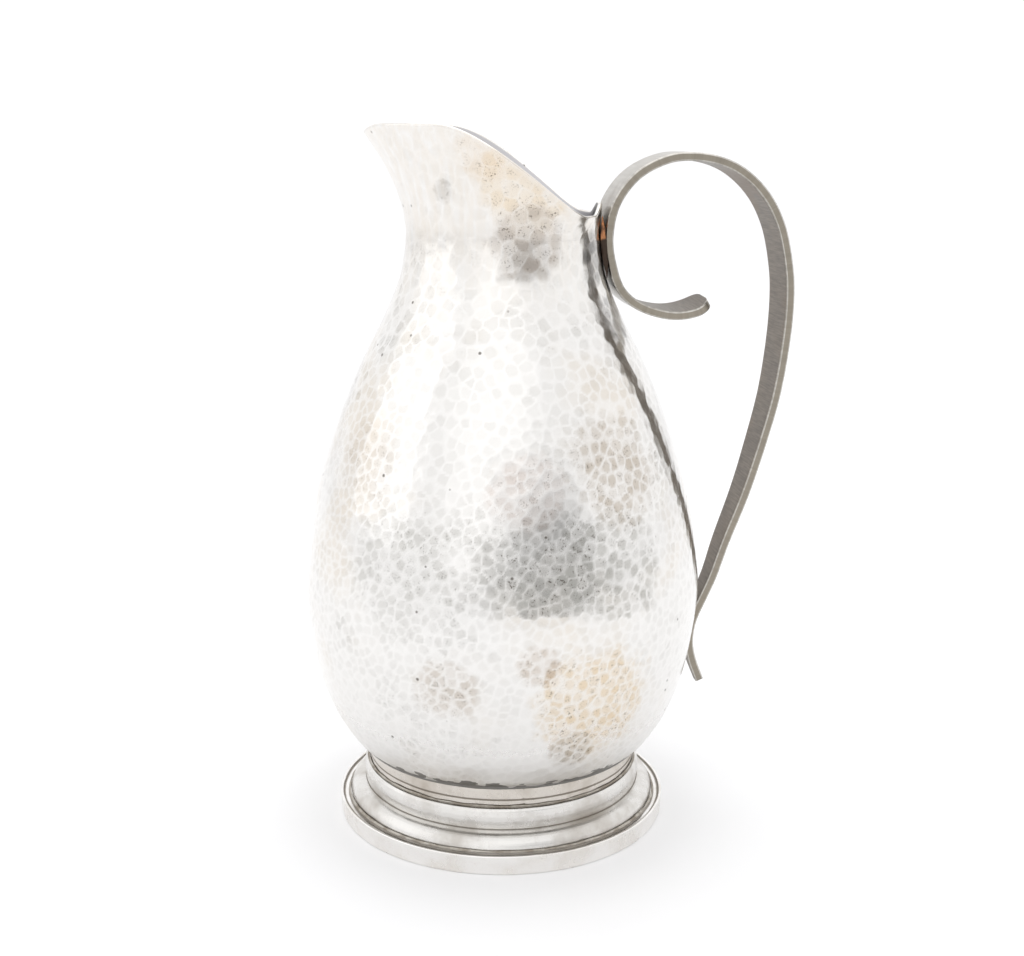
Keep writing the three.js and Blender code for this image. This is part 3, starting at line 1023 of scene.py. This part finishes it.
@dataclass
class HammerMarks:
    """Hammer blows close together, each of which leaves a shallow dish."""

    belly_spacing: float = 3.7
    neck_spacing: float = 5.2
    crowding: float = 0.82
    slope: float = 0.038
    softness: float = 0.0045
    ridge_width: float = 0.72
    warp: float = 0.28
    warp_length: float = 3.2
    search: int = 5

    def _centres(self, wall: np.ndarray, spread: np.ndarray) -> np.ndarray:
        """Scatters the blows over a wall so that none lands too near another.

        Args:
            wall: a grid of points.
            spread: the wanted distance between blows at each point.

        Returns:
            The number of the point that each blow lands on.
        """
        dice = np.random.default_rng(SEED)
        flat, wanted = wall.reshape(-1, 3), spread.ravel()
        along = np.linalg.norm(np.gradient(wall, axis=0), axis=-1)
        across = np.linalg.norm(np.roll(wall, -1, 1) - wall, axis=-1)
        chance = (along * across).ravel() / wanted**2
        tries = dice.choice(len(flat), size=int(chance.sum() * 8), p=chance / chance.sum())
        cell = float(wanted.max()) * self.crowding
        boxes = np.floor(flat[tries] / cell).astype(int).tolist()
        places = flat[tries].tolist()
        taken: dict[tuple[int, int, int], list[int]] = {}
        steps = [(i, j, k) for i in (-1, 0, 1) for j in (-1, 0, 1) for k in (-1, 0, 1)]
        kept = []
        for number, (x, y, z) in enumerate(boxes):
            reach = (wanted[tries[number]] * self.crowding) ** 2
            px, py, pz = places[number]
            near = (other for i, j, k in steps for other in taken.get((x + i, y + j, z + k), ()))
            if all(
                (places[o][0] - px) ** 2 + (places[o][1] - py) ** 2 + (places[o][2] - pz) ** 2 > reach
                for o in near
            ):
                taken.setdefault((x, y, z), []).append(number)
                kept.append(int(tries[number]))
        return np.array(kept)

    def strike(
        self, wall: np.ndarray, foot: float, neck: float
    ) -> tuple[np.ndarray, np.ndarray, np.ndarray]:
        """Marks a wall.

        Args:
            wall: a grid of points, from the bottom up.
            foot: the body's lowest height.
            neck: the neck's height.

        Returns:
            For each point its height (negative in the dishes), how close it is to a ridge and its
            mark's own random number.
        """
        dice = np.random.default_rng(SEED + 1)
        share = (wall[..., 2] - foot) / (neck - foot)
        spread = self.belly_spacing + (self.neck_spacing - self.belly_spacing) * smooth(share * 1.6 - 0.75)
        centres = self._centres(wall, spread)
        flat = wall.reshape(-1, 3)
        tree = KDTree(len(centres))
        for number, centre in enumerate(flat[centres].tolist()):
            tree.insert(centre, number)
        tree.balance()
        own = dice.uniform(size=len(centres))
        sizes = spread.ravel()[centres] * dice.uniform(0.88, 1.12, size=len(centres))
        warp = np.stack([ripple(flat, self.warp_length, SEED + 60 + k) for k in range(3)], axis=-1)
        found = [
            [(number, apart) for _, number, apart in tree.find_n(place, self.search)]
            for place in (flat + warp * self.warp).tolist()
        ]
        which = np.array([[number for number, _ in row] for row in found])
        apart = np.array([[distance for _, distance in row] for row in found])
        size = sizes[which]
        dish = self.slope / size * apart**2 - self.slope * size / 4 + 0.02 * (own[which] - 0.5)
        first = np.argmin(dish, axis=1)
        ordered = np.sort(dish, axis=1)
        height = -self.softness * np.log(np.exp(-dish / self.softness).sum(1))
        border = (ordered[:, 1] - ordered[:, 0]) / (2 * self.slope)
        rows = np.arange(len(flat))
        out = apart[rows, first] / size[rows, first]
        ridge = np.maximum(1 - smooth(border / self.ridge_width), 0.75 * smooth((out - 0.42) / 0.2))
        tone = own[which[rows, first]]
        return height.reshape(share.shape), ridge.reshape(share.shape), tone.reshape(share.shape)


@dataclass
class Body:
    """The raised body with its neck, spout and sloping rim."""

    axis: float
    bottom: float
    marks: HammerMarks = field(default_factory=HammerMarks)
    wall: float = 1.6
    heel_radius: float = 56.6
    heel_round: float = 1.4
    belly_radius: float = 77.0
    belly_height: float = 90.0
    neck_radius: float = 36.4
    neck_height: float = 228.0
    spout_turn: float = 9.0
    spout_reach: float = 51.8
    mouth_half_width: float = 44.6
    spout_arc: float = 80.0
    crown_rise: float = 40.8
    tip_dip: float = 2.6
    tip_arc: float = 28.0
    back_rise: float = 8.6
    sweep_start: float = 58.0
    sweep_end: float = 145.0
    flare_power: float = 1.9
    lip_rise: float = 4.2
    lip_curl: float = 0.5
    lip_arc: float = 26.0
    columns: int = 720
    step: float = 0.75
    hip: tuple[tuple[float, float], ...] = ((0.2, 0.07), (0.55, 0.28), (0.83, 0.58))
    shoulder: tuple[tuple[float, float], ...] = (
        (0.975, 0.12), (0.866, 0.304), (0.67, 0.493), (0.437, 0.66), (0.201, 0.797), (0.05, 0.906),
    )

    def wall_line(self) -> np.ndarray:
        """Draws the outer wall from the heel to the neck.

        Returns:
            Rows of radius and height.
        """
        heel = self.bottom + self.heel_round
        low = [
            (
                self.heel_radius + (self.belly_radius - self.heel_radius) * out,
                heel + (self.belly_height - heel) * up,
            )
            for out, up in self.hip
        ]
        high = [
            (
                self.neck_radius + (self.belly_radius - self.neck_radius) * out,
                self.belly_height + (self.neck_height - self.belly_height) * up,
            )
            for out, up in self.shoulder
        ]
        ends = np.array([(self.heel_radius, heel), (self.neck_radius, self.neck_height)])
        points = np.array([ends[0], *low, (self.belly_radius, self.belly_height), *high, ends[1]])
        return line_through(points, 0.0, ends)

    def wall_radius(self, height: float) -> float:
        """The outer wall's radius at a height below the neck."""
        line = self.wall_line()
        return float(np.interp(height, line[:, 1], line[:, 0]))

    def rim(self, angle: np.ndarray) -> tuple[np.ndarray, np.ndarray]:
        """The rim's shape.

        Args:
            angle: degrees from the spout.

        Returns:
            The rim's radius, and its height above the neck.
        """
        swell = np.where(
            angle < self.spout_arc, np.cos(np.radians(np.minimum(angle / self.spout_arc, 1) * 90)) ** 2.6, 0
        )
        back = smooth((angle - self.spout_arc) / (180 - self.spout_arc))
        sweep = smooth((angle - self.sweep_start) / (self.sweep_end - self.sweep_start))
        tip = 1 - smooth(angle / self.tip_arc)
        lip = 1 - smooth((180 - angle - self.lip_arc / 3) / (self.lip_arc * 2 / 3))
        radius = self.mouth_half_width + (self.neck_radius - self.mouth_half_width) * back
        radius = radius + (self.spout_reach - self.mouth_half_width) * swell + self.lip_curl * lip
        rise = self.crown_rise + (self.back_rise - self.crown_rise) * sweep
        return radius, rise - self.tip_dip * tip + self.lip_rise * lip

    def pulled(self, profile: np.ndarray) -> np.ndarray:
        """Turns a profile round the axis and pulls the part above the neck out to the spout and rim.

        Args:
            profile: radius and height.

        Returns:
            A grid of points.
        """
        points = spin(profile, self.columns)
        turn = np.linspace(0, 2 * np.pi, self.columns, endpoint=False)
        spout = math.pi - math.radians(self.spout_turn)
        angle = np.degrees(np.arccos(np.clip(np.cos(turn - spout), -1, 1)))
        rim_radius, rim_rise = self.rim(angle)
        share = np.maximum(0.0, (profile[:, 1:] - self.neck_height) / self.crown_rise)
        moved = profile[:, :1] + (rim_radius - self.neck_radius) * share**self.flare_power
        height = np.where(share > 0, self.neck_height + rim_rise * share, profile[:, 1:])
        points[..., 0] = moved * np.cos(turn)
        points[..., 1] = moved * np.sin(turn)
        points[..., 2] = height
        return points

    def _profile(self, out: float, step: float) -> np.ndarray:
        """Draws the wall from heel to rim, with the turn at the neck eased.

        Args:
            out: how far the wall is moved out.
            step: the distance between two rows.

        Returns:
            Rows of radius and height.
        """
        top = self.neck_height + self.crown_rise
        line = np.vstack([self.wall_line(), [[self.neck_radius, top]]])
        even = even_steps(line, step)
        window = max(3, int(12 / step) | 1)
        padded = np.pad(even[:, 0], window // 2, mode="edge")
        mean = np.convolve(padded, np.ones(window) / window, mode="valid")
        share = np.exp(-(((even[:, 1] - self.neck_height) / 13) ** 2))
        even[:, 0] += (mean - even[:, 0]) * share
        return even + [out, 0.0]

    def shell(self) -> bpy.types.Object:
        """Raises the whole body as one closed sheet.

        Returns:
            The dressed body.
        """
        heel = self.heel_radius - self.heel_round
        under = np.stack([np.linspace(1.0, heel, 12), np.full(12, self.bottom)], axis=-1)
        arc = np.radians([-72, -54, -36, -18])
        turn_up = np.stack([np.cos(arc), 1 + np.sin(arc)], axis=-1) * self.heel_round + [heel, self.bottom]
        outer = self.pulled(self._profile(0.0, self.step))
        height, ridge, tone = self.marks.strike(outer, self.bottom, self.neck_height)
        rise = outer[..., 2]
        calm = smooth((rise - self.bottom - 1.0) / 4.0)
        to_rim = outer[-1:, :, 2] - rise
        mouth = smooth((rise - self.neck_height - 4) / 20)
        calm = calm * smooth(to_rim / 3.5) * (1 - 0.55 * mouth)
        wave = 0.12 * ripple(outer, 38, SEED + 2) * calm
        normal = grid_normals(outer)
        outer = outer + normal * (height * calm + wave - 0.02)[..., None]

        inner_line = self._profile(-self.wall, 3.0)
        inner = self.pulled(inner_line)
        inner_wave = 0.10 * ripple(inner, 9, SEED + 3) * smooth((inner[-1:, :, 2] - inner[..., 2]) / 4)
        inner = inner - grid_normals(inner) * inner_wave[..., None]
        floor_line = np.stack(
            [np.linspace(1.0, heel - self.wall, 12), np.full(12, self.bottom + self.wall)], axis=-1
        )
        rim_outer, rim_inner = outer[-1], inner[-1]
        lip_rows = []
        for t in (0.12, 0.3, 0.5, 0.7, 0.88):
            row = rim_outer + (rim_inner - rim_outer) * t
            lip_rows.append(row + [0, 0, self.wall * 0.5 * math.sin(math.pi * t) ** 0.7])
        rows = [
            self.pulled(under), self.pulled(turn_up), outer, np.array(lip_rows), inner[::-1],
            self.pulled(floor_line)[::-1],
        ]
        points = np.vstack(rows)
        count = [len(block) for block in rows]
        shape = (points.shape[0], self.columns)
        first = count[0] + count[1]
        marks = {name: np.zeros(shape) for name in ("ridge", "tone", "inside")}
        # Near the rim the wall takes the ridges' bright colour: worn clean, and without the dimples'
        # painted shade.
        worn = 1 - smooth((to_rim - 0.4) / 1.6)
        marks["ridge"][first : first + count[2]] = np.maximum(ridge, worn)
        marks["tone"][first : first + count[2]] = tone
        marks["ridge"][first + count[2] : first + count[2] + count[3]] = 1.0
        marks["inside"][first + count[2] + count[3] :] = 1.0
        return grid_piece("body_shell_hammered", points, Section.CAPPED, self.axis, marks)

    def build(self) -> None:
        """Makes and dresses the body."""
        dress(self.shell(), HammeredSilver(self.axis).material(), Slot.HAMMERED, "body_shell")


# ---------------------------------------------------------------- the handle


@dataclass
class Handle:
    """The strap with its scroll and tapered tail, and the braze that holds it."""

    axis: float
    body: Body
    gap: float = 0.3
    width: float = 22.0
    thickness: float = 3.2
    loop_radius: float = 30.4
    tail_height: float = 72.0
    tail_share: float = 0.2
    taper_start: float = 0.5
    scroll_tilt: float = -4.0
    step: float = 0.9
    loop: tuple[tuple[float, float], ...] = (
        (-67.5, -4.4), (-80, -3.0), (-96, -1.7), (-112, -0.6), (-128, 0.8), (-143, 1.3), (-160, 0.2),
        (-180, 0), (-205, 0.3), (-230, 0.3), (-255, 0), (-272, -0.2), (-289, 0.3), (-304.5, 1.2),
        (-321, 2.3), (-336.6, 3.8), (-351, 5.6), (-361.5, 7.4),
    )
    stroke: tuple[tuple[float, float], ...] = (
        (0.9, 68.2), (0.815, 62.9), (0.725, 54.7), (0.606, 44.0), (0.48, 32.4), (0.351, 21.3),
        (0.222, 11.0), (0.133, 5.6), (0.078, 2.8), (0.029, 0.7), (-0.013, 0.3), (-0.052, 1.5),
        (-0.094, 4.8), (-0.153, 11.8),
    )

    def middle_line(self) -> np.ndarray:
        """Draws the strap's middle, from the scroll's end to the tail's tip.

        Returns:
            Points in the XZ plane.
        """
        neck, base = self.body.neck_height, self.body.neck_radius
        loop_x = base + self.gap + 0.15 + self.thickness / 2 + self.loop_radius
        points = []
        for angle, extra in self.loop:
            reach, turn = self.loop_radius + extra, math.radians(angle)
            points.append((loop_x + reach * math.cos(turn), neck + reach * math.sin(turn)))
        for share, clear in self.stroke:
            height = self.tail_height + (neck - self.tail_height) * share
            points.append((self.body.wall_radius(height) + self.gap + clear + self.thickness / 2, height))
        line = np.array(points)
        ends = np.array([2 * line[0] - line[1], 2 * line[-1] - line[-2]])
        return even_steps(line_through(line, 0.5, ends), self.step)

    def half_width(self, share: np.ndarray) -> np.ndarray:
        """Tapers the strap towards its tail and rounds the end of its scroll.

        Args:
            share: places along the strap, as shares of its length.

        Returns:
            Half the strap's width at each place.
        """
        end = np.minimum(1.0, share / 0.02)
        taper = np.maximum(0.0, (share - self.taper_start) / (1 - self.taper_start))
        rounded = 0.4 + 0.6 * np.sqrt(1 - (1 - end) ** 2)
        return self.width / 2 * rounded * (1 - (1 - self.tail_share) * taper**1.5)

    def _section(self) -> tuple[np.ndarray, np.ndarray, np.ndarray]:
        """The strap's section, as shares of its half width and half thickness.

        Returns:
            Points round it, how much of a bevel each one is, where the painted highlight goes, and whether
            it lies on the outer face.
        """
        bevel = [(1.0, -0.66), (1.0, 0.66), (0.955, 1.0), (-0.955, 1.0), (-1.0, 0.66), (-1.0, -0.66)]
        bevel += [(-0.955, -1.0), (0.955, -1.0)]
        points, edge = [], []
        for k, (here, there) in enumerate(zip(bevel, bevel[1:] + bevel[:1])):
            broken = k % 2 == 1
            shares = (0.06, 0.5, 0.94) if broken else (0.015, 0.06, 0.2, 0.4, 0.6, 0.8, 0.94, 0.985)
            for t in shares:
                points.append((here[0] + (there[0] - here[0]) * t, here[1] + (there[1] - here[1]) * t))
                edge.append(1.0 if broken else 0.0)
        shape = np.array(points)
        return shape, np.array(edge), (shape[:, 1] > 0.9).astype(float)

    def strap(self) -> bpy.types.Object:
        """Bends the bar.

        Returns:
            The dressed handle.
        """
        line = self.middle_line()
        fine = np.concatenate([np.linspace(0, 0.025, 22), np.linspace(0.026, 1, len(line))])
        along_line = np.linspace(0, 1, len(line))
        middle = np.stack([np.interp(fine, along_line, line[:, k]) for k in range(2)], axis=-1)
        tangent = np.gradient(middle, axis=0)
        tangent /= np.linalg.norm(tangent, axis=1, keepdims=True)
        section, edge, outer = self._section()
        tilt = np.radians(self.scroll_tilt) * (1 - smooth(fine / 0.1))
        side = section[None, :, 0] * self.half_width(fine)[:, None]
        out = section[None, :, 1] * np.full((len(fine), 1), self.thickness / 2)
        sideways = side * np.cos(tilt)[:, None] - out * np.sin(tilt)[:, None]
        outward = side * np.sin(tilt)[:, None] + out * np.cos(tilt)[:, None]
        points = np.stack(
            [
                middle[:, :1] - outward * tangent[:, 1:],
                sideways,
                middle[:, 1:] + outward * tangent[:, :1],
            ],
            axis=-1,
        )
        length = float(np.linalg.norm(np.diff(line, axis=0), axis=1).sum())
        worn = 0.05 * ripple(points, 14, SEED + 40) + 0.03 * ripple(points, 5, SEED + 41)
        points[..., 1] += worn
        grain = np.stack(
            [np.repeat(fine[:, None] * length, len(section), 1) * MM, side * MM, out * MM], axis=-1
        )
        shape = side.shape
        # The edge, outer and side marks carry the painted highlight on the bevels and the painted light on
        # the outer and side faces.
        marks = {
            "grain": grain,
            "edge": np.broadcast_to(edge, shape).copy(),
            "outer": np.broadcast_to(outer, shape).copy(),
            "side": np.broadcast_to(np.abs(section[:, 0]) > 0.985, shape).astype(float),
        }
        return grid_piece("strap_handle_bent", points, Section.CAPPED, self.axis, marks)

    def bead(self, node: bpy.types.Object, seed: int) -> bpy.types.Object:
        """A braze bead with the lumps of metal that ran, in the room that its plain solid takes.

        Args:
            node: the plain solid.
            seed: picks the lumps.

        Returns:
            The bead.
        """
        piece = bpy.data.objects.new(f"{node.name}_bead", node.data.copy())
        bpy.context.scene.collection.objects.link(piece)
        remesh = piece.modifiers.new("even faces", "REMESH")
        remesh.mode = "VOXEL"
        remesh.voxel_size = 0.32 * MM
        remesh.use_smooth_shade = True
        done = piece.evaluated_get(bpy.context.evaluated_depsgraph_get())
        mesh = bpy.data.meshes.new_from_object(done)
        piece.modifiers.clear()
        piece.data = mesh
        place = np.array([v.co for v in mesh.vertices]) / MM
        normal = np.array([v.normal for v in mesh.vertices])
        lumps = -0.10 + 0.09 * ripple(place, 3.2, seed)
        mesh.vertices.foreach_set("co", ((place + normal * lumps[:, None]) * MM).ravel())
        mesh.update()
        return piece

    def build(self, nodes: dict[str, bpy.types.Object]) -> None:
        """Makes and dresses the strap and its four braze beads.

        Args:
            nodes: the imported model's solids by name.
        """
        dress(self.strap(), DullSilver().material(), Slot.DULL, "strap_handle")
        # The braze beads take a painted shadow below a level 9 mm under the top of the front neck bead, in
        # the gap between strap and body.
        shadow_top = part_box("neck_braze_front")[1].z - 0.009
        copper = Filler(
            "copper braze", (0.60, 0.26, 0.12), (0.045, 0.028, 0.018), 0.30, shadow_top
        ).material()
        names = ("neck_braze_front", "neck_braze_rear", "tail_braze_front", "tail_braze_rear")
        for k, name in enumerate(names):
            dress(self.bead(nodes[name], SEED + 50 + k), copper, Slot.BRAZE, name)


# ---------------------------------------------------------------- the studio


@dataclass
class Studio:
    """A pale floor, soft lamps and the camera."""

    axis: float
    floor_radius: float = 40.0
    distance: float = 558.4
    eye_height: float = 267.5
    azimuth: float = -8.0
    pitch: float = 13.33
    pan: float = 0.386
    roll: float = 0.3
    lens: float = 51.66
    brightness: float = 1.13
    dark: Colour = (0.12, 0.12, 0.125)
    glow: Colour = (1.45, 1.45, 1.45)
    dark_spots: tuple[tuple[float, float, float, float], ...] = (
        (0, 11, 0.26, 0.18), (16, 12, 0.34, 0.34), (33, 10, 0.30, 0.24), (-9, 20, 0.12, 0.25),
    )
    bright_spots: tuple[tuple[float, float, float, float], ...] = (
        (-14, 34, 0.75, 0.35), (-20, -20, 0.8, 0.3),
    )

    def floor(self) -> None:
        """A wide round floor with its middle under the pitcher."""
        turn = np.linspace(0, 2 * np.pi, 96, endpoint=False)
        rings = np.array([0.05, 0.3, 0.8, 2.0, 6.0, 16.0, self.floor_radius])
        rows = [np.stack([r * np.cos(turn), r * np.sin(turn), np.zeros_like(turn)], -1) for r in rings]
        vertices = [(0.0, 0.0, 0.0)] + [tuple(p) for row in rows for p in row]
        count = len(turn)
        faces = [(0, 1 + k, 1 + (k + 1) % count) for k in range(count)]
        for r in range(len(rings) - 1):
            low, high = 1 + r * count, 1 + (r + 1) * count
            faces += [
                (low + k, high + k, high + (k + 1) % count, low + (k + 1) % count) for k in range(count)
            ]
        mesh = bpy.data.meshes.new("studio_floor")
        mesh.from_pydata(vertices, [], faces)
        mesh.materials.append(PaleFloor().material())
        piece = bpy.data.objects.new("studio_floor", mesh)
        bpy.context.scene.collection.objects.link(piece)

    def sky(self) -> None:
        """Even white surroundings, with the darker room behind the camera."""
        world = bpy.data.worlds.new("studio")
        bpy.context.scene.world = world
        s = Shader(world, "Generated")
        split = s.node("ShaderNodeSeparateXYZ", None, {0: s.place})
        behind = Term(s, split.outputs["Y"]).ramp(-0.45, -1.0)
        colour = s.blend(behind * 0.25, (0.98, 0.98, 0.985), (0.78, 0.78, 0.79))
        spots = [(*spot, self.glow) for spot in self.bright_spots]
        spots += [(*spot, self.dark) for spot in self.dark_spots]
        for turn, lift, reach, depth, shade in spots:
            a, e = math.radians(turn), math.radians(lift)
            way = (math.sin(a) * math.cos(e), -math.cos(a) * math.cos(e), math.sin(e))
            colour = s.blend(s.near(way, reach) * depth, colour, shade)
        light = s.node("ShaderNodeBackground", None, {"Color": colour, "Strength": self.brightness})
        s.node("ShaderNodeOutputWorld", None, {"Surface": light.outputs[0]})

    def lamp(self, name: str, place: Place, size: tuple[float, float], glow: float) -> None:
        """A soft lamp that faces the pitcher.

        Args:
            name: its name.
            place: where it is, in metres.
            size: its width and height, in metres.
            glow: how bright its face is.
        """
        data = bpy.data.lights.new(name, "AREA")
        data.shape = "RECTANGLE"
        data.size, data.size_y = size
        data.energy = glow * math.pi * size[0] * size[1]
        lamp = bpy.data.objects.new(name, data)
        lamp.location = place
        aim = Vector((0, 0, 0.13)) - Vector(place)
        lamp.rotation_euler = aim.to_track_quat("-Z", "Y").to_euler()
        bpy.context.scene.collection.objects.link(lamp)

    def camera(self) -> None:
        """The camera, at the height of the rim, looking down a little."""
        turn = math.radians(self.azimuth)
        spot = Vector(
            (self.axis + self.distance * math.sin(turn), -self.distance * math.cos(turn), self.eye_height)
        )
        heading = -turn + math.radians(self.pan)
        pitch, roll = math.radians(self.pitch), math.radians(self.roll)
        forward = Vector(
            (math.cos(pitch) * math.sin(heading), math.cos(pitch) * math.cos(heading), -math.sin(pitch))
        )
        level = Vector((math.cos(heading), -math.sin(heading), 0))
        above = level.cross(forward)
        right = level * math.cos(roll) + above * math.sin(roll)
        up = right.cross(forward)
        data = bpy.data.cameras.new("camera")
        data.sensor_width = 36
        data.lens = self.lens
        camera = bpy.data.objects.new("camera", data)
        axes = Matrix((right, up, -forward)).transposed().to_4x4()
        camera.matrix_world = Matrix.Translation(spot * MM) @ axes
        bpy.context.scene.collection.objects.link(camera)
        bpy.context.scene.camera = camera

    def build(self) -> None:
        """Sets up the whole studio."""
        self.floor()
        self.sky()
        self.lamp("left softbox", (-1.7, 0.0, 0.9), (1.6, 1.4), 0.22)
        self.lamp("top softbox", (0.1, 0.4, 1.9), (1.8, 1.8), 0.65)
        self.camera()
        bpy.context.scene.view_settings.view_transform = "Standard"


def main() -> None:
    """Builds the pitcher piece by piece, then the studio."""
    logging.basicConfig(level=logging.INFO, format="%(name)s: %(message)s")
    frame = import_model()
    low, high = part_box("base_band")
    axis = (low.x + high.x) / 2 / MM
    foot = Foot(axis)
    foot.build()
    body = Body(axis, foot.body_bottom)
    body.build()
    Handle(axis, body).build(frame["nodes"])
    Studio(axis).build()
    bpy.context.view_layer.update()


if __name__ == "__main__":
    main()
